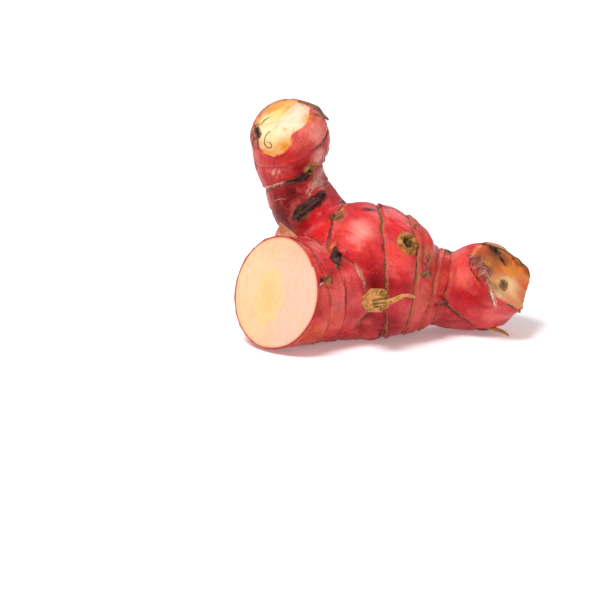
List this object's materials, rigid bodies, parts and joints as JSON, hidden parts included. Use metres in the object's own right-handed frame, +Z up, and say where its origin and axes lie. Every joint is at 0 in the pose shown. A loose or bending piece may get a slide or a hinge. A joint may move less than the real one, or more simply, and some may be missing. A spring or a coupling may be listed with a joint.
{
  "type": "galangal root",
  "caption": "Fresh red galangal rhizome with a knife-cut branch, an upright shoot knob and a blunt end bud, ringed by leaf scars and dotted with root scars",
  "frame": {"origin": "on the surface that the root lies on, under the middle of its bounding box", "axes": "+Z up, +X along the root's longest extent from the knife-cut branch to the end bud, +Y to the back, away from the cut face and the root stub"},
  "size_m": [0.0829, 0.0604, 0.0653],
  "materials": {
    "skin": "thin moist red skin with brown leaf-scar rings and dark corky patches, semi-gloss",
    "flesh": "damp cream-pink cut flesh with a yellow core",
    "dry_root": "dry tan root stub, fibres and papery scales"
  },
  "bodies": {
    "root": {"rhizome": "skin"}
  },
  "joints": []
}
